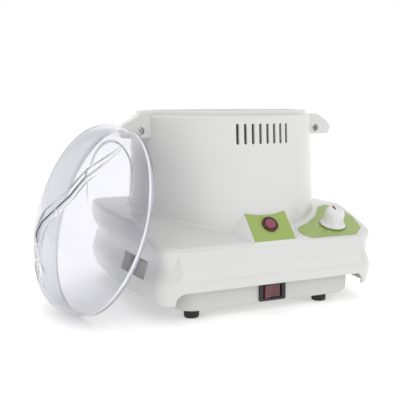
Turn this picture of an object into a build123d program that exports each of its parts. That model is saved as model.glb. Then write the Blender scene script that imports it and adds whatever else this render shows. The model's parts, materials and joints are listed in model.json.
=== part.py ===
"""Salon wax heater: a heated pot tower on a low base, with a clear lid leaning against its side.

Millimetres, +Z up. The table is z = 0, and -Y is the front with the controls. The tower's axis stands
axis_x to the right of the origin, which is the middle of the whole part's footprint, lid included.
"""

import os
from math import cos, radians, sin, sqrt, tan

from build123d import *

os.makedirs("parts", exist_ok=True)

# Driving dimensions
axis_x = 36.4  # the tower's axis from the origin

front_y = -109.5  # front lip of the deck
rear_y = 104.0
base_half_width = 113.0  # at the widest, beside the tower
front_half_width = 104.0  # at the front corners
corner_radius = 16.0
wall = 2.6

deck_tilt = 16.5  # slope of the control deck, degrees
lip_z = 63.2
deck_flat_z = 82.0
lip_round = 4.5
front_edge_z = 26.4  # lower edge of the housing at the front
skirt_z = 16.0  # lower edge of the housing at the sides
belly_y = -111.8
belly_crease_z = 44.0
belly_half_width = 88.0
lamp_tilt = 47.0  # slope of the lamp block's face
lamp_half_width = 20.5

tower_foot_radius = 90.8  # at deck level
tower_radius = 86.6  # at the ledge
ledge_z = 171.0
tower_draft = (tower_foot_radius - tower_radius) / (ledge_z - deck_flat_z)
rim_radius = 82.4
top_z = 175.2
split_y = -20.0  # the front and rear halves meet here

# Screw lugs: the upper pair stands out from the tower like ears, the lower pair sits in the waist
ear_front = -27.0
ear_back = -15.5
ear_outline = [(70, 171), (94, 171), (106, 163.5), (110, 158), (107, 151), (70, 151)]
ear_hole = (92.3, 157.0)
lug_hole = (101.0, 41.2)
lug_screw_radius = 1.9
channel_x = 107.5
channel_radius = 9.5

# Eight upright vents over the front of the tower
vent_count = 8
vent_pitch = 7.0
vent_width = 2.6
vent_low = 145.8
vent_high = 163.8

# Tray
tray_front_y = -102.7
tray_half_width = 88.0
tray_z = 7.2
tray_top_z = 30.0
flange_z = 27.6
foot_radius = 7.0
foot_places = [(-71, -89), (58, -89), (-71, 84), (71, 84)]
switch_width = 26.2
switch_low = 9.9
switch_high = 25.7

# Well and pot
well_radius = 72.0
well_floor_z = 62.0
well_wall = 1.5
pot_radius = 69.5
pot_floor_z = 64.0
pot_rim_z = 168.0

# Knob and thermostat, on the sloping deck
knob_x = 70.5
knob_y = -91.0
knob_skirt_radius = 11.8
knob_top_radius = 7.9
knob_height = 17.0
shaft_radius = 3.0

# Lid, leaning on the left ear with its lowest rim point on the table
lid_radius = 84.0
lid_wall = 2.0
lid_lean = 17.7  # its rim plane from the vertical
lid_turn = 9.0  # its open side turned from square to the machine
lid_gap = 0.4  # between the rim and the ear

label_thickness = 0.5
clearance = 0.3

lamp_z = 75.8
lamp_hole_radius = 6.2
bush_radius = 4.8
gland_x = -60.0
gland_z = 44.0
gland_radius = 6.0
tray_screws = [(-90, -92), (90, -92), (-97, 58), (97, 58)]

cord_hole_radius = 3.6
switch_middle_z = (switch_low + switch_high) / 2
window_half = 9.3
rocker_pivot_y = tray_front_y + 3.2
rocker_shape = [(-8.7, -4.6), (0, -3.4), (8.7, -4.6), (8.7, 3.6), (-8.7, 3.6)]
rocker_rest = 8.0  # degrees tipped at rest
bail_radius = 74.7
bail_wire = 1.2
bail_z = 173.6
flute_count = 16
tilt = radians(deck_tilt)
panel_side = [
    (38, -108.7),
    (84.8, -109.1),
    (97.2, -98.3),
    (102.9, -77.1),
    (102.1, -64.1),
    (91.6, -47.9),
    (80.1, -52.1),
]
lamp_label = [(-20, -16), (20, -16), (20, 18), (-20, 18)]
wire_routes = [
    [(-60, 92, 44), (-56, 80, 34), (-50, 68, 20)],
    [(-34, 52, 18), (-20, 0, 14), (-4, -70, 16), (-7, -75.8, 17.8)],
    [(7, -75.8, 17.8), (20, -60, 16), (50, -70, 24), (64, -82, 36)],
]

# Lid form
lid_height = 40.7
fin_angle = 65.0  # the fin's direction from the lid's own across direction, degrees
fin_half_width = 4.0
fin_half_length = 68.0
fin_top = 47.5
fin_foot = 22.0
scoop_radius = 36.0

tower_axis = Axis((axis_x, 0, 0), (0, 0, 1))


def level(z, x=0, y=0):
    """Horizontal plane at height z, measured from the tower's axis."""
    return Plane(origin=(axis_x + x, y, z))


def across(x=0):
    """Upright plane that looks along +X: its x runs to the rear and its y runs up."""
    return Plane(origin=(axis_x + x, 0, 0), x_dir=(0, 1, 0), z_dir=(1, 0, 0))


def facing(y=0, x=0, z=0):
    """Upright plane that looks out of the front: its x runs to the right and its y runs up."""
    return Plane(origin=(axis_x + x, y, z), x_dir=(1, 0, 0), z_dir=(0, -1, 0))


def tilted(x, y, z, tilt):
    """Plane that faces up and to the front, tilt degrees from level."""
    slope = radians(tilt)
    return Plane(origin=(axis_x + x, y, z), x_dir=(1, 0, 0), z_dir=(0, -sin(slope), cos(slope)))


def deck_z(y):
    """Height of the sloping deck at depth y."""
    return lip_z + (y - front_y) * tan(radians(deck_tilt))


def export(piece, name):
    """Label one finished piece and write it as the node of that name."""
    piece.part.label = name
    export_step(piece.part, f"parts/{name}.step")


def base_outline(grow):
    """Plan of the base: straight front and rear, bulging sides and round corners, grown by grow."""
    depth = rear_y - front_y
    middle = (rear_y + front_y) / 2
    bulge = base_half_width - front_half_width
    side_radius = (depth**2 / 4 + bulge**2) / (2 * bulge)
    with BuildSketch() as plan:
        with Locations((0, middle)):
            Rectangle(2 * base_half_width, depth)
        for side in (-1, 1):
            with Locations((side * (base_half_width - side_radius), middle)):
                Circle(side_radius, mode=Mode.INTERSECT)
        fillet(plan.vertices(), corner_radius)
        offset(amount=grow)
    return plan.sketch


# Side walls: (how far the wall stands out from the plan, height)
wall_profile = [(-3.6, 12), (0.2, 24), (1.0, 34), (-2.8, 48), (-0.2, 60), (-0.4, 78), (-0.8, 96)]


def base_block(inset):
    """The base as a solid, moved in by inset on every side and at the deck."""
    low = wall_profile[0][1]
    high = wall_profile[-1][1]
    band = inset + 10
    path = base_outline(0).face().outer_wire().moved(Location((axis_x, 0, 0)))
    start = path @ 0
    outward = (path % 0).cross(Vector(0, 0, 1))
    if outward.dot(start - Vector(axis_x, 0, 0)) < 0:
        outward = outward * -1
    with BuildPart() as block:
        with BuildSketch(Plane(origin=start, x_dir=outward, z_dir=outward.cross(Vector(0, 0, 1)))):
            with BuildLine():
                side = Spline(*[(out - inset, z) for out, z in wall_profile])
                Polyline(side @ 1, (-band, high), (-band, low), side @ 0)
            make_face()
        sweep(path=path)
        with BuildSketch(level(low)):
            add(base_outline(1 - band))
        extrude(amount=high - low)
        with BuildSketch(across()) as above_deck:
            foot = front_y - 40
            crest = front_y + (deck_flat_z - lip_z) / tan(radians(deck_tilt))
            Polygon(
                (foot, deck_z(foot) - inset),
                (crest, deck_flat_z - inset),
                (rear_y + 40, deck_flat_z - inset),
                (rear_y + 40, 200),
                (foot, 200),
                align=None,
            )
            fillet(above_deck.vertices().sort_by_distance((crest, deck_flat_z))[0], 60)
        extrude(amount=200, both=True, mode=Mode.SUBTRACT)
    return block.part


def wedge_outline(z):
    """Plan of the lamp block at height z: a straight front and splayed cheeks."""
    back = -74
    front = front_y + 0.2 + (z - lip_z - 0.4) / tan(radians(lamp_tilt))
    spread = 0.7 * (back - front)
    return [
        (-lamp_half_width, front),
        (lamp_half_width, front),
        (lamp_half_width + spread, back),
        (-lamp_half_width - spread, back),
    ]


def on_tower_foot(edge):
    """True for the edges where the tower meets the deck."""
    middle = edge.center()
    near = (middle.X - axis_x) ** 2 + middle.Y**2 < (tower_foot_radius + 5) ** 2
    return near and lip_z < middle.Z < deck_flat_z + 1


lean = radians(lid_lean)
turn = radians(lid_turn)
lid_plane = Plane(
    origin=(axis_x - 134.1, -36.6, 80.1),
    x_dir=(sin(turn), -cos(turn), 0),
    z_dir=(-cos(lean) * cos(turn), -cos(lean) * sin(turn), sin(lean)),
)
fin_turn = radians(fin_angle)
fin_plane = Plane(
    origin=lid_plane.origin,
    x_dir=lid_plane.x_dir * cos(fin_turn) + lid_plane.y_dir * sin(fin_turn),
    z_dir=lid_plane.x_dir * sin(fin_turn) - lid_plane.y_dir * cos(fin_turn),
)
lamp_plane = tilted(0, front_y + 0.2 + (lamp_z - lip_z - 0.4) / tan(radians(lamp_tilt)), lamp_z, lamp_tilt)
knob_plane = tilted(knob_x, knob_y, deck_z(knob_y), deck_tilt)

# ---- Housing: one form, then split into its front and rear halves ----

with BuildPart() as wedge:
    for z in (60, 92):
        with BuildSketch(level(z)):
            Polygon(*wedge_outline(z), align=None)
    loft(ruled=True)
    with BuildSketch(level(60)):
        with Locations((0, front_y + 0.2)):
            Rectangle(80, 20, align=(Align.CENTER, Align.MAX))
    extrude(amount=40, mode=Mode.SUBTRACT)

with BuildPart() as belly:
    with BuildSketch(across()):
        Polygon(
            (front_y + 14, 61),
            (front_y + 0.3, 61),
            (belly_y, belly_crease_z),
            (front_y + 1.5, front_edge_z),
            (front_y + 14, front_edge_z),
            align=None,
        )
    extrude(amount=130, both=True)
    with BuildSketch(level(20)):
        Polygon(
            (-belly_half_width, belly_y),
            (belly_half_width, belly_y),
            (belly_half_width + 12, front_y + 12),
            (-belly_half_width - 12, front_y + 12),
            align=None,
        )
    extrude(amount=50, mode=Mode.INTERSECT)

with BuildPart() as lug_tunnels:
    for side in (-1, 1):
        with BuildSketch(facing(ear_back, side * channel_x, lug_hole[1])):
            Circle(channel_radius + wall)
        extrude(amount=64, taper=1.5)
    with BuildSketch(level(0)):
        Rectangle(400, 400)
    extrude(amount=tray_top_z + clearance, mode=Mode.SUBTRACT)
    add(base_block(0.5), mode=Mode.INTERSECT)

with BuildPart() as housing:
    add(base_block(0))
    deck = housing.faces().filter_by(lambda face: face.normal_at().Z > 0.9)
    middle = deck.edges().filter_by(lambda edge: abs(edge.center().X - axis_x) < 1)
    crease = middle.filter_by(lambda edge: -90 < edge.center().Y < 0)
    fillet([edge for edge in deck.edges() if edge not in crease], lip_round)
    add(belly)
    with BuildSketch(facing()):
        Polygon(
            (0, 50),
            (tower_foot_radius + (deck_flat_z - 50) * tower_draft, 50),
            (tower_radius, ledge_z),
            (0, ledge_z),
            align=None,
        )
    revolve(axis=tower_axis)
    fillet(housing.edges().filter_by(on_tower_foot), 3.5)
    fillet(housing.edges().filter_by(GeomType.CIRCLE).sort_by(Axis.Z)[-1], 2.5)
    add(wedge)
    with BuildSketch(facing(ear_back)):
        for side in (-1, 1):
            Polygon(*[(side * x, z) for x, z in ear_outline], align=None)
    extrude(amount=ear_back - ear_front)

    # Hollow it: the base, the tower and the mouth
    add(base_block(wall), mode=Mode.SUBTRACT)
    with BuildSketch(facing()):
        Polygon(
            (0, 40),
            (tower_foot_radius - wall + (deck_flat_z - 40) * tower_draft, 40),
            (tower_radius - wall, ledge_z - wall),
            (rim_radius - wall, ledge_z - wall),
            (rim_radius - wall, ledge_z + 1),
            (0, ledge_z + 1),
            align=None,
        )
    revolve(axis=tower_axis, mode=Mode.SUBTRACT)

    # Lower edge: open underneath, arched up over the tray at the front and rear
    with BuildSketch(level(0)):
        Rectangle(400, 400)
    extrude(amount=skirt_z, mode=Mode.SUBTRACT)
    with BuildSketch(facing(-150)):
        with Locations((0, front_edge_z)):
            RectangleRounded(186, 40, 8, align=(Align.CENTER, Align.MAX))
    extrude(amount=-300, mode=Mode.SUBTRACT)

    # Inner corner posts that the tray screws bite into
    for x, y in tray_screws:
        with BuildSketch(level(tray_top_z, x, y)):
            Circle(4.2)
            Circle(1.3, mode=Mode.SUBTRACT)
        extrude(amount=min(deck_z(y) - 1.8, deck_flat_z - 1) - tray_top_z)

    # Vents over the front
    for place in range(vent_count):
        turn = (place - (vent_count - 1) / 2) * vent_pitch / tower_radius
        with BuildSketch(facing(-60, tower_radius * sin(turn), (vent_low + vent_high) / 2)):
            SlotOverall(vent_high - vent_low, vent_width, rotation=90)
        extrude(amount=40, mode=Mode.SUBTRACT)

    # Waist pockets that reach back to the lower lugs
    add(lug_tunnels)
    for side in (-1, 1):
        with BuildSketch(facing(ear_front, side * channel_x, lug_hole[1])):
            Circle(channel_radius)
        extrude(amount=50, taper=1.5, mode=Mode.SUBTRACT)

    # Screw holes of all four lugs, with their recesses in front
    for x, z in (ear_hole, lug_hole):
        for side in (-1, 1):
            with BuildSketch(facing(ear_back + 1, side * x, z)):
                Circle(lug_screw_radius)
            extrude(amount=ear_back - ear_front, mode=Mode.SUBTRACT)
            with BuildSketch(facing(ear_front + 5, side * x, z)):
                Circle(3.5)
            extrude(amount=8, mode=Mode.SUBTRACT)

    # Controls: lamp hole, thermostat bush hole, cord hole
    with BuildSketch(lamp_plane):
        Circle(lamp_hole_radius)
    extrude(amount=30, both=True, mode=Mode.SUBTRACT)
    with BuildSketch(knob_plane):
        Circle(bush_radius)
    extrude(amount=8, both=True, mode=Mode.SUBTRACT)
    with BuildSketch(facing(rear_y + 4, gland_x, gland_z)):
        Circle(gland_radius)
    extrude(amount=10, mode=Mode.SUBTRACT)

with BuildPart() as front_housing:
    add(housing.part)
    split(bisect_by=facing(split_y), keep=Keep.TOP)
export(front_housing, "front_housing")

with BuildPart() as rear_housing:
    add(housing.part)
    split(bisect_by=facing(split_y), keep=Keep.BOTTOM)
export(rear_housing, "rear_housing")

with BuildPart() as housing_screws:
    for x, z in (ear_hole, lug_hole):
        for side in (-1, 1):
            with BuildSketch(facing(ear_front + 5, side * x, z)):
                Circle(3.3)
                RegularPolygon(1.6, 6, mode=Mode.SUBTRACT)
            extrude(amount=2)
            with BuildSketch(facing(ear_front + 5, side * x, z)):
                Circle(lug_screw_radius)
            extrude(amount=-(ear_back - ear_front - 5.2))
export(housing_screws, "housing_screws")

# ---- Tray, feet and cord inlet ----

with BuildPart() as base_tray:
    tray_depth = rear_y - 6 - tray_front_y
    with BuildSketch(level(tray_z, 0, tray_front_y + tray_depth / 2)):
        RectangleRounded(2 * tray_half_width, tray_depth, 20)
    extrude(amount=tray_top_z - tray_z)
    fillet(base_tray.faces().sort_by(Axis.Z)[0].edges(), 5)
    with BuildSketch(level(flange_z)):
        add(base_outline(-6))
    extrude(amount=tray_top_z - flange_z)
    with BuildSketch(level(tray_z + 2.5, 0, tray_front_y + tray_depth / 2)):
        RectangleRounded(2 * tray_half_width - 5, tray_depth - 5, 17.5)
    extrude(amount=30, mode=Mode.SUBTRACT)

    # Foot bosses, screw holes and the switch cut-out
    with BuildSketch(level(tray_z + 2)):
        with Locations(*foot_places):
            Circle(5)
    extrude(amount=7)
    with BuildSketch(level(tray_z - 1)):
        with Locations(*foot_places):
            Circle(1.6)
    extrude(amount=12, mode=Mode.SUBTRACT)
    with BuildSketch(level(flange_z - 1)):
        with Locations(*tray_screws):
            Circle(1.7)
    extrude(amount=5, mode=Mode.SUBTRACT)
    with BuildSketch(facing(tray_front_y - 2, 0, switch_middle_z)):
        Rectangle(switch_width - 1.6, switch_high - switch_low - 1.6)
    extrude(amount=-8, mode=Mode.SUBTRACT)
    with BuildSketch(level(tray_z - 1)):
        with GridLocations(12, 0, 5, 1):
            SlotOverall(30, 3, rotation=90)
    extrude(amount=6, mode=Mode.SUBTRACT)
export(base_tray, "base_tray")

with BuildPart() as rubber_feet:
    for x, y in foot_places:
        with BuildSketch(level(0, x, y)):
            Circle(foot_radius - 0.6)
        extrude(amount=tray_z, taper=-4)
        with BuildSketch(level(0, x, y)):
            Circle(3.3)
        extrude(amount=3.5, mode=Mode.SUBTRACT)
        with BuildSketch(level(0, x, y)):
            Circle(1.6)
        extrude(amount=tray_z + 1, mode=Mode.SUBTRACT)
    soles = rubber_feet.edges().filter_by(GeomType.CIRCLE).group_by(Axis.Z)[0]
    fillet(soles.filter_by(lambda edge: edge.radius > 6), 1.2)
export(rubber_feet, "rubber_feet")

with BuildPart() as foot_screws:
    for x, y in foot_places:
        with BuildSketch(level(1.5, x, y)):
            Circle(3)
            Rectangle(4, 0.9, mode=Mode.SUBTRACT)
            Rectangle(0.9, 4, mode=Mode.SUBTRACT)
        extrude(amount=1.0)
        with BuildSketch(level(2.3, x, y)):
            Circle(3)
        extrude(amount=1.2)
        with BuildSketch(level(3, x, y)):
            Circle(1.5)
        extrude(amount=12)
export(foot_screws, "foot_screws")

with BuildPart() as tray_screw_set:
    for x, y in tray_screws:
        with BuildSketch(level(flange_z - 2.4, x, y)):
            Circle(2.6)
        extrude(amount=2.4)
        with BuildSketch(level(flange_z - 2.5, x, y)):
            Rectangle(3.4, 0.8)
            Rectangle(0.8, 3.4)
        extrude(amount=1, mode=Mode.SUBTRACT)
        with BuildSketch(level(flange_z - 0.5, x, y)):
            Circle(1.25)
        extrude(amount=14)
export(tray_screw_set, "tray_screws")

with BuildPart() as cord_gland:
    with BuildSketch(facing(rear_y + 17, gland_x, gland_z)):
        Circle(gland_radius - 1)
        Circle(cord_hole_radius, mode=Mode.SUBTRACT)
    extrude(amount=26)
    with BuildSketch(facing(rear_y + 4.4, gland_x, gland_z)):
        Circle(9)
        Circle(cord_hole_radius, mode=Mode.SUBTRACT)
    extrude(amount=3)
    for place in range(4):
        with BuildSketch(facing(rear_y + 15.5 - 2.4 * place, gland_x, gland_z)):
            Circle(gland_radius)
            Circle(gland_radius - 1.5, mode=Mode.SUBTRACT)
        extrude(amount=1.2)
export(cord_gland, "cord_gland")

# ---- Ring, well, heater and insulation inside the tower ----

with BuildPart() as top_ring:
    with BuildSketch(facing()) as ring_section:
        Polygon(
            (well_radius + 0.4, 168),
            (rim_radius - wall - 0.3, 168),
            (rim_radius - wall - 0.3, ledge_z),
            (rim_radius, ledge_z),
            (rim_radius, top_z),
            (78, top_z),
            (77.6, 170),
            (well_radius + 0.4, 170),
            align=None,
        )
        fillet(ring_section.vertices().sort_by_distance((rim_radius, top_z))[0], 1.5)
    revolve(axis=tower_axis)
export(top_ring, "top_ring")

with BuildPart() as heating_well:
    with BuildSketch(facing()) as well_section:
        Polygon(
            (0, well_floor_z),
            (well_radius, well_floor_z),
            (well_radius, 170),
            (77.2, 170),
            (77.2, 171.2),
            (well_radius - well_wall, 171.2),
            (well_radius - well_wall, well_floor_z + well_wall),
            (0, well_floor_z + well_wall),
            align=None,
        )
        fillet(well_section.vertices().sort_by_distance((well_radius, well_floor_z))[0], 5)
        fillet(well_section.vertices().sort_by_distance((well_radius - 1.5, well_floor_z + 1.5))[0], 4)
    revolve(axis=tower_axis)
export(heating_well, "heating_well")

with BuildPart() as band_heater:
    with BuildSketch(level(80)):
        Circle(75.5)
        Circle(well_radius + 0.1, mode=Mode.SUBTRACT)
        with Locations((0, -75)):
            Rectangle(6, 12, mode=Mode.SUBTRACT)
    extrude(amount=60)
export(band_heater, "band_heater")

with BuildPart() as band_clamp:
    for z in (86, 122):
        with BuildSketch(level(z)):
            Circle(76.1)
            Circle(75.6, mode=Mode.SUBTRACT)
        extrude(amount=12)
export(band_clamp, "band_clamps")

with BuildPart() as insulation_sleeve:
    with BuildSketch(level(76)):
        Circle(81)
        Circle(76.4, mode=Mode.SUBTRACT)
    extrude(amount=90)
export(insulation_sleeve, "insulation_sleeve")

with BuildPart() as heat_shield:
    with BuildSketch(level(51)):
        Circle(78)
        with PolarLocations(55, 6, 30):
            Circle(6, mode=Mode.SUBTRACT)
    extrude(amount=1.2)
    with BuildSketch(level(51)):
        Circle(78)
        Circle(76.8, mode=Mode.SUBTRACT)
    extrude(amount=6)
export(heat_shield, "heat_shield")

with BuildPart() as shield_pillars:
    with BuildSketch(level(52.3)):
        with PolarLocations(60, 3, 90):
            RegularPolygon(4, 6)
    extrude(amount=well_floor_z - 52.4)
export(shield_pillars, "shield_pillars")

with BuildPart() as wax_pot:
    with BuildSketch(facing()) as pot_section:
        Polygon(
            (0, pot_floor_z),
            (pot_radius, pot_floor_z),
            (pot_radius, 172.6),
            (pot_radius - 1.2, 172.6),
            (pot_radius - 1.2, pot_floor_z + 1.2),
            (0, pot_floor_z + 1.2),
            align=None,
        )
        fillet(pot_section.vertices().sort_by_distance((pot_radius, pot_floor_z))[0], 5)
        fillet(pot_section.vertices().sort_by_distance((pot_radius - 1.2, pot_floor_z + 1.2))[0], 4)
        with Locations((pot_radius + 0.5, 173.1)):
            RectangleRounded(3.2, 2.6, 1)
    revolve(axis=tower_axis)
    for side in (-1, 1):
        with BuildSketch(across(side * 70.6)):
            with Locations((0, 173.5)):
                Rectangle(9, 3.0)
        extrude(amount=side * 2.2)
        with BuildSketch(across(side * 71)):
            with Locations((0, bail_z)):
                Circle(1.05)
        extrude(amount=side * 4, mode=Mode.SUBTRACT)
export(wax_pot, "wax_pot")

with BuildPart() as pot_bail:
    with BuildLine(level(bail_z)) as bail_path:
        CenterArc((0, 0), bail_radius, 4, 172)
    with BuildSketch(Plane(origin=bail_path.line @ 0, z_dir=bail_path.line % 0)):
        Circle(bail_wire)
    sweep(path=bail_path.line)
    for side in (-1, 1):
        near = (side * bail_radius * cos(radians(4)), bail_radius * sin(radians(4)))
        with BuildSketch(level(bail_z - bail_wire)):
            Polygon(
                (near[0] - side * 1.1, near[1] + 1),
                (near[0] + side * 0.9, near[1] + 1),
                (side * (bail_radius + 0.9), -1.4),
                (side * (bail_radius - 1.2), -1.4),
                align=None,
            )
        extrude(amount=2 * bail_wire)
        with BuildSketch(across(side * 71.4)):
            with Locations((0, bail_z)):
                Circle(1.0)
        extrude(amount=side * (bail_radius - 71.4))
export(pot_bail, "pot_bail")

# ---- Thermostat, knob and panels on the deck ----

with BuildPart() as thermostat_body:
    with BuildSketch(knob_plane.offset(-wall - 0.1)):
        RectangleRounded(24, 22, 2)
    extrude(amount=-20)
    with BuildSketch(knob_plane.offset(-wall - 0.1)):
        Circle(4.5)
    extrude(amount=wall + 4.3)
    with BuildSketch(knob_plane.offset(-14)):
        Circle(shaft_radius + 0.05)
    extrude(amount=20, mode=Mode.SUBTRACT)
    with BuildSketch(knob_plane.offset(-wall - 20)):
        with Locations((-6, 4), (6, 4)):
            Rectangle(6.3, 0.8)
    extrude(amount=-8)
export(thermostat_body, "thermostat_body")

with BuildPart() as thermostat_nut:
    with BuildSketch(knob_plane.offset(label_thickness + 0.05)):
        RegularPolygon(7, 6)
        Circle(4.55, mode=Mode.SUBTRACT)
    extrude(amount=2.4)
export(thermostat_nut, "thermostat_nut")

with BuildPart() as thermostat_shaft:
    with BuildSketch(knob_plane.offset(-13)):
        Circle(shaft_radius)
    extrude(amount=27)
    with BuildSketch(knob_plane.offset(7)):
        with Locations((0, shaft_radius)):
            Rectangle(8, 2.6)
    extrude(amount=8, mode=Mode.SUBTRACT)
export(thermostat_shaft, "thermostat_shaft")

with BuildPart() as knob:
    with BuildSketch(Plane(origin=knob_plane.origin, x_dir=(1, 0, 0), z_dir=(0, -cos(tilt), -sin(tilt)))):
        with BuildLine():
            Line((0, knob_height - 0.3), (knob_top_radius - 1, knob_height))
            Spline(
                (knob_top_radius - 1, knob_height),
                (knob_top_radius, knob_height - 1),
                (knob_top_radius + 1.1, 9),
                (knob_top_radius + 2.0, 5),
                (knob_skirt_radius, 2.6),
            )
            Line((knob_skirt_radius, 2.6), (knob_skirt_radius - 0.4, 1.4))
            Line((knob_skirt_radius - 0.4, 1.4), (0, 1.4))
            Line((0, 1.4), (0, knob_height - 0.3))
        make_face()
    revolve(axis=Axis(knob_plane.origin, knob_plane.z_dir))
    with BuildSketch(knob_plane.offset(0)):
        Circle(8.6)
    extrude(amount=5, mode=Mode.SUBTRACT)
    with BuildSketch(knob_plane.offset(4)):
        Circle(shaft_radius + 0.02)
    extrude(amount=10.1, mode=Mode.SUBTRACT)
    with BuildSketch(knob_plane.offset(5.4)):
        with PolarLocations(knob_top_radius + 2.25, flute_count):
            Circle(1.2)
    extrude(amount=20, taper=-3, mode=Mode.SUBTRACT)
export(knob, "knob")

with BuildPart() as knob_pointer:
    with BuildSketch(knob_plane.offset(knob_height + 0.02)):
        with Locations(Location((0.6, 3.6), -10)):
            Rectangle(1.4, 6.4)
    extrude(amount=0.4)
export(knob_pointer, "knob_pointer")

with BuildPart() as knob_panel:
    with BuildSketch(level(0)) as panel_plan:
        with BuildLine():
            Polyline(*panel_side)
            ThreePointArc(panel_side[-1], (69.6, -65.3), (52.7, -79.4))
            Spline((52.7, -79.4), (39.5, -87), (33, -92), (31.5, -100), panel_side[0])
        make_face()
        fillet(panel_plan.vertices().sort_by(Axis.X)[-3:], 6)
    extrude(amount=140)
    with BuildSketch(knob_plane.offset(0.02)):
        Rectangle(260, 260)
    extrude(amount=label_thickness, mode=Mode.INTERSECT)
    with BuildSketch(knob_plane):
        Circle(bush_radius + 0.6)
    extrude(amount=5, both=True, mode=Mode.SUBTRACT)
export(knob_panel, "knob_panel")

# ---- Lamp block ----

with BuildPart() as lamp_panel:
    with BuildSketch(lamp_plane.offset(0.02)):
        Polygon(*lamp_label, align=None)
        Circle(lamp_hole_radius + 0.2, mode=Mode.SUBTRACT)
    extrude(amount=label_thickness)
    with BuildSketch(level(60)):
        Circle(tower_foot_radius + 0.5)
    extrude(amount=60, mode=Mode.SUBTRACT)
export(lamp_panel, "lamp_panel")

with BuildPart() as lamp_body:
    with BuildSketch(lamp_plane.offset(0.4)):
        Circle(5.7)
    extrude(amount=-18)
    with BuildSketch(lamp_plane.offset(-17)):
        with Locations((-2.5, 0), (2.5, 0)):
            Rectangle(0.8, 3)
    extrude(amount=-6)
export(lamp_body, "lamp_body")

with BuildPart() as lamp_bezel:
    with BuildSketch(lamp_plane.offset(label_thickness + 0.05)):
        Circle(7.4)
        Circle(5.4, mode=Mode.SUBTRACT)
    extrude(amount=2.0)
    chamfer(lamp_bezel.edges().filter_by(GeomType.CIRCLE).group_by(Axis.Z)[-1], 0.5)
export(lamp_bezel, "lamp_bezel")

with BuildPart() as lamp_lens:
    with BuildSketch(lamp_plane.offset(0.45)):
        Circle(5.3)
    extrude(amount=2.6)
    fillet(lamp_lens.edges().filter_by(GeomType.CIRCLE).sort_by(Axis.Z)[-1], 1.6)
export(lamp_lens, "lamp_lens")

# ---- Switch in the tray's front ----

with BuildPart() as switch_frame:
    with BuildSketch(facing(tray_front_y - 0.05, 0, switch_middle_z)):
        RectangleRounded(switch_width, switch_high - switch_low, 1.2)
    extrude(amount=1.6)
    with BuildSketch(facing(tray_front_y - 0.5, 0, switch_middle_z)):
        Rectangle(24, 13.6)
    extrude(amount=-18.5)
    with BuildSketch(facing(tray_front_y - 2, 0, switch_middle_z)):
        Rectangle(2 * window_half, 11.6)
    extrude(amount=-14, mode=Mode.SUBTRACT)
    with BuildSketch(level(switch_middle_z - 6.5, 0, rocker_pivot_y)):
        Circle(1.25)
    extrude(amount=13, mode=Mode.SUBTRACT)
export(switch_frame, "switch_frame")

with BuildPart() as switch_rocker:
    with BuildSketch(level(switch_middle_z - 5.5, 0, rocker_pivot_y)) as rocker_plan:
        Circle(9)
        Polygon(*rocker_shape, rotation=rocker_rest, align=None, mode=Mode.INTERSECT)
    extrude(amount=11)
    with BuildSketch(level(switch_middle_z - 6.3, 0, rocker_pivot_y)):
        Circle(1.2)
    extrude(amount=12.6)
export(switch_rocker, "switch_rocker")

with BuildPart() as switch_terminals:
    for x in (-7, 0, 7):
        with BuildSketch(facing(tray_front_y + 18, x, switch_middle_z)):
            Rectangle(0.8, 6.3)
        extrude(amount=-8)
export(switch_terminals, "switch_terminals")

# ---- Wiring inside the base ----

with BuildPart() as sensor_bulb:
    with BuildSketch(facing(30, 0, 58.4)):
        with Locations((20, 0)):
            Circle(3)
    extrude(amount=60)
export(sensor_bulb, "sensor_bulb")

with BuildPart() as thermal_fuse:
    with BuildSketch(level(55, -25, 18)):
        Circle(7)
    extrude(amount=6.8)
    with BuildSketch(level(57, -25, 18)):
        Rectangle(24, 5)
    extrude(amount=0.8)
export(thermal_fuse, "thermal_fuse")

with BuildPart() as terminal_block:
    with BuildSketch(level(tray_z + 2.5, -40, 60)):
        RectangleRounded(36, 16, 1.5)
    extrude(amount=5)
    with BuildSketch(level(tray_z + 5, -40, 60)):
        with GridLocations(12, 0, 3, 1):
            Rectangle(9, 13)
    extrude(amount=9)
    with BuildSketch(level(tray_z + 20, -40, 60)):
        with GridLocations(12, 0, 3, 1):
            Circle(2)
    extrude(amount=-9, mode=Mode.SUBTRACT)
export(terminal_block, "terminal_block")

with BuildPart() as inner_wiring:
    for route in wire_routes:
        with BuildLine() as run:
            Spline(*[(axis_x + x, y, z) for x, y, z in route])
        with BuildSketch(Plane(origin=run.line @ 0, z_dir=run.line % 0)):
            Circle(1.2)
        sweep(path=run.line)
export(inner_wiring, "inner_wiring")

# ---- Lid ----


def dome_radius(height, shrink=0.0):
    """Radius of the lid at a height over its rim plane, for a skin moved in by shrink."""
    return (lid_radius - shrink) * sqrt(max(0.0, 1 - (height / (lid_height - shrink)) ** 4.28))


def on_lid(x, y, height):
    """Point given in the lid's own directions: across, up its rim plane, and out from it."""
    return lid_plane.from_local_coords(Vector(x, y, height))


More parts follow.
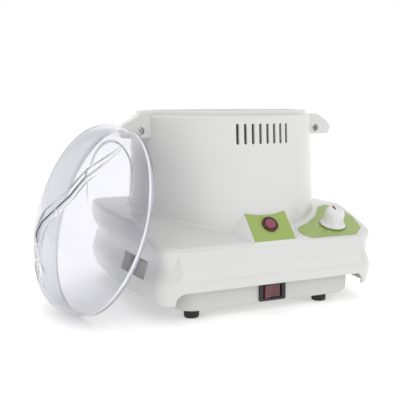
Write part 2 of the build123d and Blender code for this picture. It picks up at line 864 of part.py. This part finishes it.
def lid_form(shrink):
    """The lid as a solid: dome, grip fin across the crown and a finger scoop on each side of the fin."""
    top = lid_height - shrink
    foot = -1 if shrink else -0.02
    heights = [0, 0.22 * top, 0.44 * top, 0.62 * top, 0.77 * top, 0.89 * top, 0.96 * top]
    with BuildPart() as solid:
        with BuildSketch(Plane(origin=lid_plane.origin, x_dir=lid_plane.x_dir, z_dir=-lid_plane.y_dir)):
            with BuildLine():
                side = Spline(*[(dome_radius(height, shrink), height) for height in heights], (0, top))
                Polyline(side @ 1, (0, foot), (lid_radius - shrink, foot), side @ 0)
            make_face()
        revolve(axis=Axis(lid_plane.origin, lid_plane.z_dir))
        for way in (-1, 1):
            axis = on_lid(way * 0.904, way * 0.094, -0.417) - lid_plane.origin
            centre = on_lid(way * 27, way * 41.3, 61.7)
            with BuildPart(mode=Mode.SUBTRACT) as scoop:
                with BuildSketch(Plane(origin=centre, z_dir=axis)):
                    Circle(scoop_radius + shrink)
                extrude(amount=80, both=True)
                with BuildSketch(fin_plane.offset(way * (fin_half_width - shrink))):
                    Rectangle(300, 300)
                extrude(amount=-way * 200, mode=Mode.SUBTRACT)
        with BuildSketch(fin_plane):
            with BuildLine():
                crest = ThreePointArc(
                    (-fin_half_length, fin_foot - shrink),
                    (0, fin_top - shrink),
                    (fin_half_length, fin_foot - shrink),
                )
                Polyline(crest @ 1, (fin_half_length, 12), (-fin_half_length, 12), crest @ 0)
            make_face()
        extrude(amount=fin_half_width - shrink, both=True)
    return solid.part


with BuildPart() as lid:
    add(lid_form(0))
    add(lid_form(lid_wall), mode=Mode.SUBTRACT)
export(lid, "lid")
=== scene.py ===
# %% [markdown]
# # A salon wax heater, from frame to finish
# The machine is a round heated tower on a low moulded base. Its clear lid leans against one side.
# The solid model is already packed as a fixed frame, so this lesson adds the camera, the light,
# the small printed details and every finish. Nothing in the frame is moved or resized.

# %% Load the frame
import json
from math import cos, pi, radians, sin

import bpy
from mathutils import Matrix, Vector


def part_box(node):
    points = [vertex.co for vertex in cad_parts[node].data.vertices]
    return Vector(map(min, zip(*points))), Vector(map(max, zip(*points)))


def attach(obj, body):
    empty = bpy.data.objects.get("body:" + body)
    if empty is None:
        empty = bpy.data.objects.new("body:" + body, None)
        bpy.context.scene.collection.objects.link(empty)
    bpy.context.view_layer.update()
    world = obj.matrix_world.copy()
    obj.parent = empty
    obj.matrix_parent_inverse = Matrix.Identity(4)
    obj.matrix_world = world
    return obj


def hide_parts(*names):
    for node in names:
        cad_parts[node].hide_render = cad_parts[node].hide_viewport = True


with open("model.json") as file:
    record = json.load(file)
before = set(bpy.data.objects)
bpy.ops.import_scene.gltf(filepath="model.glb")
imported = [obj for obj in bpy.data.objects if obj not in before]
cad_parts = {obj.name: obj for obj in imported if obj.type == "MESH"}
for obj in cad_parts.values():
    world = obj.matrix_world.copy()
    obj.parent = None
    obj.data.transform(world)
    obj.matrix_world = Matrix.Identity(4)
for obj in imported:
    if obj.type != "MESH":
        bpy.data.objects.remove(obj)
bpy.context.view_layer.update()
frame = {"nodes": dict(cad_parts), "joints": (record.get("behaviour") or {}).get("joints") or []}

scene = bpy.context.scene
nodes = frame["nodes"]
print("pieces in the frame:", len(nodes))

# %% [markdown]
# ## Camera
# A table-top product is usually seen from a little above with a medium lens. The camera is set by the
# direction it looks in, and its distance from the tower's axis, so that the numbers mean something.
# The alternative is to aim it with a constraint, but then the picture's tilt is harder to control.

# %% Camera
ring_low, ring_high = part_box("top_ring")
tower_axis = (ring_low + ring_high) / 2
tower_axis.z = 0
heading = radians(24.17)
dip = radians(7.65)
roll = radians(-0.27)
steps_back, steps_left, eye_height = 0.70026, 0.02056, 0.18017
ahead = Vector((sin(heading), cos(heading), 0))
right = Vector((cos(heading), -sin(heading), 0))
camera_data = bpy.data.cameras.new("camera")
camera_data.lens = 63.81
camera_data.sensor_width = 36
camera = bpy.data.objects.new("camera", camera_data)
scene.collection.objects.link(camera)
camera.matrix_world = (
    Matrix.Translation(tower_axis - steps_back * ahead - steps_left * right + Vector((0, 0, eye_height)))
    @ Matrix.Rotation(-heading, 4, "Z")
    @ Matrix.Rotation(pi / 2 - dip, 4, "X")
    @ Matrix.Rotation(roll, 4, "Z")
)
scene.camera = camera
print("camera at", [round(value, 3) for value in camera.matrix_world.translation])

# %% [markdown]
# ## Floor and light
# White plastic needs soft light, with one side a little darker than the other, or its form is lost.
# A large box of light on the left makes the long highlight down the tower. A weaker one on the right
# opens the shadows, and the white sky fills the rest. The floor glows a little, so that it meets the sky
# without a visible line. The view is set to Standard, which keeps white white.

# %% Floor
scene.view_settings.view_transform = "Standard"
floor_mesh = bpy.data.meshes.new("floor")
reach = 6.0
floor_corners = [(-reach, -reach, 0), (reach, -reach, 0), (reach, reach, 0), (-reach, reach, 0)]
floor_mesh.from_pydata(floor_corners, [], [(0, 1, 2, 3)])
floor = bpy.data.objects.new("floor", floor_mesh)
scene.collection.objects.link(floor)
floor_paint = bpy.data.materials.new("studio floor")
floor_paint.use_nodes = True
floor_shader = floor_paint.node_tree.nodes["Principled BSDF"]
floor_shader.inputs["Base Color"].default_value = (0.93, 0.93, 0.93, 1)
floor_shader.inputs["Roughness"].default_value = 0.9
floor_shader.inputs["Specular IOR Level"].default_value = 0.1
floor_shader.inputs["Emission Color"].default_value = (1, 1, 1, 1)
floor_shader.inputs["Emission Strength"].default_value = 0.30
floor_mesh.materials.append(floor_paint)
print("floor half width:", reach)

# %% Sky
sky = bpy.data.worlds.new("studio")
sky.use_nodes = True
sky.node_tree.nodes["Background"].inputs["Color"].default_value = (1, 1, 1, 1)
sky.node_tree.nodes["Background"].inputs["Strength"].default_value = 1.0
scene.world = sky
print("sky:", sky.name)


# %% Soft boxes
def soft_box(name, place, aim, size, power):
    """A square area light at place, turned to face aim."""
    light = bpy.data.lights.new(name, "AREA")
    light.size = size
    light.energy = power
    lamp = bpy.data.objects.new(name, light)
    lamp.location = place
    lamp.rotation_euler = (Vector(aim) - Vector(place)).to_track_quat("-Z", "Y").to_euler()
    scene.collection.objects.link(lamp)


soft_box("left box", (-1.3, -0.9, 1.2), (0, 0, 0.08), 0.9, 2.0)
soft_box("right box", (1.5, -0.6, 0.9), (0, 0, 0.08), 0.8, 0.8)
soft_box("back box", (0.2, 1.4, 1.3), (0, 0, 0.1), 1.2, 1.5)
print("lights:", [light.name for light in bpy.data.lights])

# %% [markdown]
# ## Shared effects
# Some effects turn up in several finishes: the faint grain of a steel mould with its cloudy gloss, the
# fine lines of brushed metal, and a soft mix of two close tones. Each is built once as a node group with
# its own inputs, and gives out values and normals only. The shader stays in each material, so every
# finish can set its own gloss.


# %% A helper for node groups
def new_group(name, takes, gives):
    """An empty shader node group with the named inputs and outputs."""
    group = bpy.data.node_groups.new(name, "ShaderNodeTree")
    for label, kind, value in takes:
        socket = group.interface.new_socket(label, in_out="INPUT", socket_type=kind)
        socket.default_value = value
    for label, kind in gives:
        group.interface.new_socket(label, in_out="OUTPUT", socket_type=kind)
    entry = group.nodes.new("NodeGroupInput")
    exit_ = group.nodes.new("NodeGroupOutput")
    return group, entry, exit_


def noise(tree, scale, detail=2.0):
    """A noise texture over the object's own space."""
    place = tree.nodes.new("ShaderNodeTexCoord")
    grain = tree.nodes.new("ShaderNodeTexNoise")
    grain.inputs["Scale"].default_value = scale
    grain.inputs["Detail"].default_value = detail
    tree.links.new(place.outputs["Object"], grain.inputs["Vector"])
    return grain


def spread(tree, source, low, high):
    """Turn a 0 to 1 value into one between two sockets or numbers."""
    span = tree.nodes.new("ShaderNodeMapRange")
    tree.links.new(source, span.inputs["Value"])
    for end, value in (("To Min", low), ("To Max", high)):
        if isinstance(value, bpy.types.NodeSocket):
            tree.links.new(value, span.inputs[end])
        else:
            span.inputs[end].default_value = value
    return span.outputs["Result"]


# %% Mould grain
mould_grain, entry, exit_ = new_group(
    "mould grain",
    [
        ("Grain scale", "NodeSocketFloat", 900.0),
        ("Grain depth", "NodeSocketFloat", 0.05),
        ("Gloss low", "NodeSocketFloat", 0.2),
        ("Gloss high", "NodeSocketFloat", 0.3),
    ],
    [("Roughness", "NodeSocketFloat"), ("Cloud", "NodeSocketFloat"), ("Normal", "NodeSocketVector")],
)
fine = noise(mould_grain, 900, 3)
mould_grain.links.new(entry.outputs["Grain scale"], fine.inputs["Scale"])
cloud = noise(mould_grain, 14, 4)
press = mould_grain.nodes.new("ShaderNodeBump")
press.inputs["Distance"].default_value = 0.0004
mould_grain.links.new(entry.outputs["Grain depth"], press.inputs["Strength"])
mould_grain.links.new(fine.outputs["Fac"], press.inputs["Height"])
gloss = spread(mould_grain, cloud.outputs["Fac"], entry.outputs["Gloss low"], entry.outputs["Gloss high"])
mould_grain.links.new(gloss, exit_.inputs["Roughness"])
mould_grain.links.new(cloud.outputs["Fac"], exit_.inputs["Cloud"])
mould_grain.links.new(press.outputs["Normal"], exit_.inputs["Normal"])

# %% Brushed lines
brushed_lines, entry, exit_ = new_group(
    "brushed lines",
    [
        ("Line scale", "NodeSocketFloat", 60.0),
        ("Line depth", "NodeSocketFloat", 0.2),
        ("Gloss low", "NodeSocketFloat", 0.2),
        ("Gloss high", "NodeSocketFloat", 0.4),
    ],
    [("Roughness", "NodeSocketFloat"), ("Lines", "NodeSocketFloat"), ("Normal", "NodeSocketVector")],
)
lines = noise(brushed_lines, 60, 4)
squeeze = brushed_lines.nodes.new("ShaderNodeMapping")
squeeze.inputs["Scale"].default_value = (1, 1, 40)
brushed_lines.links.new(lines.inputs["Vector"].links[0].from_socket, squeeze.inputs["Vector"])
brushed_lines.links.new(squeeze.outputs["Vector"], lines.inputs["Vector"])
brushed_lines.links.new(entry.outputs["Line scale"], lines.inputs["Scale"])
press = brushed_lines.nodes.new("ShaderNodeBump")
press.inputs["Distance"].default_value = 0.0003
brushed_lines.links.new(entry.outputs["Line depth"], press.inputs["Strength"])
brushed_lines.links.new(lines.outputs["Fac"], press.inputs["Height"])
gloss = spread(brushed_lines, lines.outputs["Fac"], entry.outputs["Gloss low"], entry.outputs["Gloss high"])
brushed_lines.links.new(gloss, exit_.inputs["Roughness"])
brushed_lines.links.new(lines.outputs["Fac"], exit_.inputs["Lines"])
brushed_lines.links.new(press.outputs["Normal"], exit_.inputs["Normal"])

# %% Two tones
two_tones, entry, exit_ = new_group(
    "two tones",
    [
        ("Mask", "NodeSocketFloat", 0.5),
        ("First", "NodeSocketColor", (1, 1, 1, 1)),
        ("Second", "NodeSocketColor", (0.9, 0.9, 0.9, 1)),
    ],
    [("Color", "NodeSocketColor")],
)
blend = two_tones.nodes.new("ShaderNodeMix")
blend.data_type = "RGBA"
two_tones.links.new(entry.outputs["Mask"], blend.inputs["Factor"])
two_tones.links.new(entry.outputs["First"], blend.inputs[6])
two_tones.links.new(entry.outputs["Second"], blend.inputs[7])
two_tones.links.new(blend.outputs[2], exit_.inputs["Color"])
print("groups:", [group.name for group in bpy.data.node_groups])

# %% [markdown]
# ## Finishes
# One recipe makes them all: a Principled shader whose colour wanders between two close tones, and
# whose gloss and surface come from one of the shared groups. What differs is the numbers: a polished
# shell is nearly mirror-like, a printed overlay is satin, rubber is dull.


# %% The recipe
def place_group(tree, group, values):
    """Put a shared group into a material and set its inputs."""
    holder = tree.nodes.new("ShaderNodeGroup")
    holder.node_tree = group
    for label, value in values.items():
        holder.inputs[label].default_value = value
    return holder


def finish(name, first, second, surface, values, **settings):
    """Two close tones and a shared surface effect. Settings go on the shader's own sockets."""
    material = bpy.data.materials.new(name)
    material.use_nodes = True
    tree = material.node_tree
    shader = tree.nodes["Principled BSDF"]
    effect = place_group(tree, surface, values)
    tones = place_group(tree, two_tones, {"First": (*first, 1), "Second": (*second, 1)})
    mask = effect.outputs["Cloud"] if "Cloud" in effect.outputs else effect.outputs["Lines"]
    tree.links.new(mask, tones.inputs["Mask"])
    tree.links.new(tones.outputs["Color"], shader.inputs["Base Color"])
    tree.links.new(effect.outputs["Roughness"], shader.inputs["Roughness"])
    tree.links.new(effect.outputs["Normal"], shader.inputs["Normal"])
    for label, value in settings.items():
        shader.inputs[label.replace("_", " ")].default_value = value
    return material


def paint(material, *names):
    """Give a finish to CAD pieces."""
    for name in names:
        piece = nodes[name]
        piece.data.materials.clear()
        piece.data.materials.append(material)
    print(material.name, "on", ", ".join(names))


# %% [markdown]
# ### White plastics
# The shell is polished, the tray under it is satin, and the knob is a harder, glossier moulding. Three
# finishes close in tone but different in gloss keep the white pieces apart.

# %% White plastics
shell_white = finish(
    "polished white shell",
    (0.63, 0.63, 0.615),
    (0.67, 0.67, 0.66),
    mould_grain,
    {"Grain scale": 700, "Grain depth": 0.03, "Gloss low": 0.20, "Gloss high": 0.30},
    IOR=1.5,
    Coat_Weight=0.25,
    Coat_Roughness=0.08,
)
tray_white = finish(
    "satin white tray",
    (0.57, 0.57, 0.56),
    (0.62, 0.62, 0.61),
    mould_grain,
    {"Grain scale": 1200, "Grain depth": 0.12, "Gloss low": 0.35, "Gloss high": 0.5},
)
knob_white = finish(
    "glossy white dial",
    (0.68, 0.68, 0.69),
    (0.73, 0.73, 0.73),
    mould_grain,
    {"Grain scale": 900, "Grain depth": 0.03, "Gloss low": 0.14, "Gloss high": 0.24},
    Subsurface_Weight=0.15,
    Subsurface_Scale=0.002,
)
paint(shell_white, "front_housing", "rear_housing", "top_ring")
paint(tray_white, "base_tray")
paint(knob_white, "knob")

# %% [markdown]
# ### Printed overlays
# The two control panels are thin polyester sheets printed on the back in yellow-green. The ink shows
# faint clouding, and the sheet's own face is satin.

# %% Green overlay
overlay_green = finish(
    "green overlay",
    (0.27, 0.37, 0.08),
    (0.33, 0.44, 0.12),
    mould_grain,
    {"Grain scale": 1500, "Grain depth": 0.08, "Gloss low": 0.28, "Gloss high": 0.40},
)
paint(overlay_green, "knob_panel", "lamp_panel")

# %% [markdown]
# ### Black and dark pieces
# The switch case, the lamp's ring, the feet and the thermostat's body are all dark, but each is another
# material. Grain and gloss tell them apart: rubber is rough and dull, the lamp's ring is smooth.

# %% Black and dark pieces
black_gloss = finish(
    "black switch plastic",
    (0.010, 0.009, 0.009),
    (0.020, 0.018, 0.018),
    mould_grain,
    {"Grain scale": 1500, "Grain depth": 0.06, "Gloss low": 0.2, "Gloss high": 0.32},
)
bezel_dark = finish(
    "dark lamp bezel",
    (0.035, 0.006, 0.010),
    (0.060, 0.010, 0.016),
    mould_grain,
    {"Grain scale": 1500, "Grain depth": 0.03, "Gloss low": 0.12, "Gloss high": 0.2},
)
rubber_black = finish(
    "black rubber",
    (0.008, 0.008, 0.008),
    (0.022, 0.022, 0.021),
    mould_grain,
    {"Grain scale": 600, "Grain depth": 0.3, "Gloss low": 0.55, "Gloss high": 0.75},
)
phenolic = finish(
    "dark phenolic",
    (0.020, 0.012, 0.009),
    (0.035, 0.022, 0.016),
    mould_grain,
    {"Grain scale": 500, "Grain depth": 0.1, "Gloss low": 0.35, "Gloss high": 0.5},
)
mark_red = finish(
    "dark red paint",
    (0.10, 0.004, 0.010),
    (0.16, 0.008, 0.018),
    mould_grain,
    {"Grain scale": 900, "Grain depth": 0.05, "Gloss low": 0.3, "Gloss high": 0.4},
)
paint(black_gloss, "switch_frame", "lamp_body")
paint(bezel_dark, "lamp_bezel")
paint(rubber_black, "rubber_feet", "cord_gland")
paint(phenolic, "thermostat_body")
paint(mark_red, "knob_pointer")

# %% [markdown]
# ### Red lens and rocker
# Both are clear red plastic over a small neon lamp. With the lamp off they look nearly black-red, with
# a brighter heart where light passes twice. A little transmission and a facet pattern give that depth.


# %% Red translucent plastic
def red_plastic(name, deep, bright, facets, depth):
    """Dark red see-through plastic with a moulded facet pattern on its back."""
    material = finish(
        name,
        deep,
        bright,
        mould_grain,
        {"Grain scale": 700, "Grain depth": 0.03, "Gloss low": 0.08, "Gloss high": 0.16},
        IOR=1.49,
        Transmission_Weight=0.25,
        Coat_Weight=0.6,
    )
    tree = material.node_tree
    place = tree.nodes.new("ShaderNodeTexCoord")
    cells = tree.nodes.new("ShaderNodeTexVoronoi")
    cells.inputs["Scale"].default_value = facets
    cells.inputs["Randomness"].default_value = 0.15
    press = tree.nodes.new("ShaderNodeBump")
    press.inputs["Strength"].default_value = depth
    press.inputs["Distance"].default_value = 0.0006
    tree.links.new(place.outputs["Object"], cells.inputs["Vector"])
    tree.links.new(cells.outputs["Distance"], press.inputs["Height"])
    tree.links.new(press.outputs["Normal"], tree.nodes["Principled BSDF"].inputs["Normal"])
    return material


lens_red = red_plastic("red lamp lens", (0.22, 0.020, 0.055), (0.34, 0.045, 0.10), 650, 0.5)
rocker_red = red_plastic("red rocker", (0.11, 0.004, 0.010), (0.17, 0.008, 0.018), 300, 0.1)
paint(lens_red, "lamp_lens")
paint(rocker_red, "switch_rocker")

# %% [markdown]
# ### Clear lid
# The lid is a single clear moulding with a faint grey tint. It gets glass-like transmission with the
# refraction of a clear plastic, so it darkens by itself where the eye looks along a wall. A breath of
# roughness stops it from looking like laboratory glass.

# %% Clear plastic
lid_clear = bpy.data.materials.new("clear lid")
lid_clear.use_nodes = True
lid_tree = lid_clear.node_tree
lid_shader = lid_tree.nodes["Principled BSDF"]
lid_shader.inputs["Transmission Weight"].default_value = 1.0
lid_shader.inputs["IOR"].default_value = 1.46
lid_surface = place_group(
    lid_tree, mould_grain, {"Grain scale": 160, "Grain depth": 0.01, "Gloss low": 0.02, "Gloss high": 0.07}
)
lid_tones = place_group(lid_tree, two_tones, {"First": (0.70, 0.70, 0.75, 1), "Second": (0.76, 0.76, 0.80, 1)})
lid_tree.links.new(lid_surface.outputs["Cloud"], lid_tones.inputs["Mask"])
lid_tree.links.new(lid_tones.outputs["Color"], lid_shader.inputs["Base Color"])
lid_tree.links.new(lid_surface.outputs["Roughness"], lid_shader.inputs["Roughness"])
lid_tree.links.new(lid_surface.outputs["Normal"], lid_shader.inputs["Normal"])
paint(lid_clear, "lid")

# %% [markdown]
# ### The lid's own form
# The frame carries a plain version of the lid. The real moulding has a steep wall, a wide shoulder and a
# nearly flat crown, with one flat facet cut into the crown for the fingers and a raised rib beside it.
# Rings of points round the lid's axis suit this well: the dome comes from one short formula, and the
# facet and rib only change how far each point stands out. The same rings, a little over a millimetre in,
# make the inside, so the light bends through a real thickness of plastic. The rib is kept inside the
# frame's box, so a flat cut takes off the part of it that would stand out too far.

# %% Lid axes and profile
lean = radians(17.7)
turn = radians(9)
lid_out = Vector((-cos(lean) * cos(turn), -cos(lean) * sin(turn), sin(lean)))
lid_side = Vector((sin(turn), -cos(turn), 0))
lid_up = lid_out.cross(lid_side)
lid_centre = tower_axis + Vector((-0.1341, -0.0366, 0.0801))
left_limit = -0.1502
lid_radius, lid_height, lid_wall = 0.0837, 0.0406, 0.0013
squareness = 4.28


def dome_point(share, shrink):
    """Radius and height of the dome's profile, from the crown at share 0 to the rim at share 1."""
    angle = share * pi / 2
    radius = (lid_radius - shrink) * sin(angle)
    height = (lid_height - shrink) * (max(0.0, 1 - sin(angle) ** 2)) ** (1 / squareness)
    return radius, height


print("lid faces", [round(value, 3) for value in lid_out])

# %% Rib path
rib_path_mm = [(51, 67), (44, 53), (34, 39), (16, 17), (-6, 2)]
rib_path_mm += [(-25, -9), (-36, -22), (-33, -38), (-20, -52), (-2, -62)]
rib_path = [(x / 1000, y / 1000) for x, y in rib_path_mm]
rib_thin, rib_widening, rib_ramp, rib_rise = 0.0012, 0.0038, 0.0026, 0.0040
facet_top, facet_side_slope, facet_up_slope = 0.0590, 0.422, 0.247


def gap_to_path(x, y):
    """Distance from a point to the rib's middle line, and how far along the line the nearest place is."""
    nearest, share = 1.0, 0.0
    steps = len(rib_path) - 1
    for step in range(steps):
        start, end = Vector(rib_path[step]), Vector(rib_path[step + 1])
        run = end - start
        along = max(0.0, min(1.0, (Vector((x, y)) - start).dot(run) / run.length_squared))
        gap = (start + run * along - Vector((x, y))).length
        if gap < nearest:
            nearest, share = gap, (step + along) / steps
    return nearest, share


def stand_out(x, y, height, shrink):
    """Height of the lid's skin over its rim plane once the facet is cut and the rib is raised."""
    facet = facet_top - shrink - facet_side_slope * x - facet_up_slope * y
    height = min(height, facet)
    gap, share = gap_to_path(x, y)
    half_width = rib_thin + rib_widening * min(1.0, share * 2.0)
    edge = max(0.0, min(1.0, (half_width + rib_ramp - gap) / rib_ramp))
    rise = rib_rise * min(1.0, 0.25 + share * 1.6) * min(1.0, share * 8.0) * min(1.0, (1.0 - share) * 5.0)
    return height + rise * edge * edge * (3 - 2 * edge)


print("points on the rib's middle line:", len(rib_path))

# %% Lid skins
rings, spokes, straight_below = 130, 360, 0.014


def lid_skin(shrink):
    """Rings of points for one side of the lid's wall."""
    skin = []
    for ring in range(1, rings + 1):
        share = (ring / rings) ** 0.8
        radius, height = dome_point(share, shrink)
        for spoke in range(spokes):
            angle = 2 * pi * spoke / spokes
            x, y = radius * cos(angle), radius * sin(angle)
            tall = stand_out(x, y, height, shrink) if height > straight_below else height
            tallest = (lid_centre.x + lid_side.x * x + lid_up.x * y - left_limit) / -lid_out.x
            tall = min(tall, tallest)
            skin.append(lid_centre + lid_side * x + lid_up * y + lid_out * tall)
    return skin


outside, inside = lid_skin(0.0), lid_skin(lid_wall)
crown_out = lid_centre + lid_out * stand_out(0, 0, lid_height, 0.0)
crown_in = lid_centre + lid_out * stand_out(0, 0, lid_height - lid_wall, lid_wall)
lid_points = outside + inside + [crown_out, crown_in]
print("lid points:", len(lid_points))

# %% Lid mesh
half = rings * spokes
lid_faces = []
for ring in range(rings - 1):
    for spoke in range(spokes):
        here, onward = ring * spokes + spoke, ring * spokes + (spoke + 1) % spokes
        lid_faces.append((here, here + spokes, onward + spokes, onward))
        lid_faces.append((half + here, half + onward, half + onward + spokes, half + here + spokes))
rim = (rings - 1) * spokes
for spoke in range(spokes):
    onward = (spoke + 1) % spokes
    lid_faces.append((2 * half, spoke, onward))
    lid_faces.append((2 * half + 1, half + onward, half + spoke))
    lid_faces.append((rim + spoke, half + rim + spoke, half + rim + onward, rim + onward))
lid_mesh = bpy.data.meshes.new("clear_lid")
lid_mesh.from_pydata(lid_points, [], lid_faces)
lid_mesh.polygons.foreach_set("use_smooth", [True] * len(lid_mesh.polygons))
lid_mesh.update()
clear_lid = bpy.data.objects.new("clear_lid", lid_mesh)
scene.collection.objects.link(clear_lid)
lid_mesh.materials.append(lid_clear)
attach(clear_lid, "lid")
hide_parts("lid")
print("lid faces:", len(lid_faces))

# %% [markdown]
# ### Metals
# The pot, the well and the screws are bare metal. Fine lines pressed into the gloss show how each was
# made, and the heater band is darker because heat has tinted it.


# %% Metals
def metal(name, first, second, scale, depth, low, high):
    """A bare metal with fine lines."""
    return finish(
        name,
        first,
        second,
        brushed_lines,
        {"Line scale": scale, "Line depth": depth, "Gloss low": low, "Gloss high": high},
        Metallic=1.0,
    )


pot_steel = metal("satin pot steel", (0.55, 0.55, 0.56), (0.66, 0.66, 0.67), 50, 0.25, 0.22, 0.38)
well_aluminium = metal("spun aluminium", (0.62, 0.62, 0.64), (0.72, 0.72, 0.73), 90, 0.3, 0.3, 0.45)
zinc = metal("zinc plate", (0.42, 0.43, 0.45), (0.56, 0.56, 0.57), 300, 0.15, 0.25, 0.4)
tinted_steel = metal("heat-tinted steel", (0.24, 0.21, 0.17), (0.40, 0.36, 0.30), 120, 0.3, 0.35, 0.55)
brass = metal("plain brass", (0.55, 0.38, 0.14), (0.66, 0.48, 0.20), 200, 0.15, 0.25, 0.4)
paint(pot_steel, "wax_pot")
paint(well_aluminium, "heating_well", "heat_shield", "thermal_fuse")
paint(zinc, "foot_screws", "tray_screws", "housing_screws", "band_clamps", "shield_pillars")
paint(zinc, "pot_bail", "thermostat_nut")
paint(tinted_steel, "band_heater")
paint(brass, "thermostat_shaft", "switch_terminals", "sensor_bulb")

# %% [markdown]
# ### Fibre, ceramic and wire
# These pieces are inside, and are seen only when the machine is taken apart. They still get their own
# finish, so that an opened view makes sense.

# %% Fibre, ceramic and wire
felt_dark = finish(
    "needled fibre",
    (0.010, 0.010, 0.010),
    (0.030, 0.029, 0.028),
    mould_grain,
    {"Grain scale": 450, "Grain depth": 0.9, "Gloss low": 0.85, "Gloss high": 1.0},
    Sheen_Weight=0.3,
)
ceramic = finish(
    "terminal ceramic",
    (0.62, 0.58, 0.50),
    (0.72, 0.69, 0.62),
    mould_grain,
    {"Grain scale": 400, "Grain depth": 0.2, "Gloss low": 0.4, "Gloss high": 0.6},
)
wire_grey = finish(
    "silicone wire sleeve",
    (0.40, 0.40, 0.38),
    (0.50, 0.50, 0.47),
    mould_grain,
    {"Grain scale": 300, "Grain depth": 0.15, "Gloss low": 0.4, "Gloss high": 0.55},
)
paint(felt_dark, "insulation_sleeve")
paint(ceramic, "terminal_block")
paint(wire_grey, "inner_wiring")

# %% [markdown]
# ## Printed marks
# The dial has a ring of pale marks round it, and the lamp a ring of short rays. On the real overlay they
# are ink. Thin slabs a tenth of a millimetre high are used here instead of a drawn pattern, because
# they stay crisp from any distance and need no picture. Every mark is laid out from the axis of the
# piece it goes round.


# %% Marks round an axis
def ring_of_marks(name, centre, normal, angles, inner, outer, width):
    """Thin radial slabs round a point on a panel. Angles are in degrees, with 0 up the panel's slope."""
    normal = Vector(normal).normalized()
    across = Vector((1, 0, 0))
    up_slope = normal.cross(across)
    corners = []
    faces = []
    for angle, start in zip(angles, inner):
        way = up_slope * cos(radians(angle)) + across * sin(radians(angle))
        side = normal.cross(way)
        first = len(corners)
        for height in (0.0, 0.0001):
            for along, off in ((start, -1), (outer, -1), (outer, 1), (start, 1)):
                corners.append(centre + way * along + side * off * width / 2 + normal * height)
        faces += [[first + i for i in face] for face in ((0, 1, 2, 3), (4, 7, 6, 5))]
        faces += [[first + i, first + (i + 1) % 4, first + (i + 1) % 4 + 4, first + i + 4] for i in range(4)]
    mesh = bpy.data.meshes.new(name)
    mesh.from_pydata(corners, [], faces)
    mesh.update()
    piece = bpy.data.objects.new(name, mesh)
    scene.collection.objects.link(piece)
    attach(piece, "heater")
    return piece


pale_ink = finish(
    "pale yellow ink",
    (0.70, 0.78, 0.42),
    (0.78, 0.84, 0.52),
    mould_grain,
    {"Grain scale": 1500, "Grain depth": 0.05, "Gloss low": 0.3, "Gloss high": 0.42},
)
dial = next(joint for joint in frame["joints"] if joint["name"] == "knob_turn")
dial_normal = Vector(dial["axis"])
dial_centre = Vector(dial["pos_m"]) + dial_normal * 0.00053
dial_angles = [-135 + 27 * mark for mark in range(11)]
dial_starts = [0.0136 if mark % 5 == 0 else 0.0144 for mark in range(11)]
dial_marks = ring_of_marks("dial_marks", dial_centre, dial_normal, dial_angles, dial_starts, 0.0165, 0.0006)
dial_marks.data.materials.append(pale_ink)

lamp_slope = radians(47)
lamp_normal = Vector((0, -sin(lamp_slope), cos(lamp_slope)))
bezel_low, bezel_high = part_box("lamp_bezel")
lamp_centre = (bezel_low + bezel_high) / 2 - lamp_normal * 0.00103
lamp_angles = [15 * mark for mark in range(24)]
lamp_rays = ring_of_marks("lamp_rays", lamp_centre, lamp_normal, lamp_angles, [0.0083] * 24, 0.0096, 0.0004)
lamp_rays.data.materials.append(pale_ink)
print("marks:", len(dial_angles), "round the dial,", len(lamp_angles), "round the lamp")
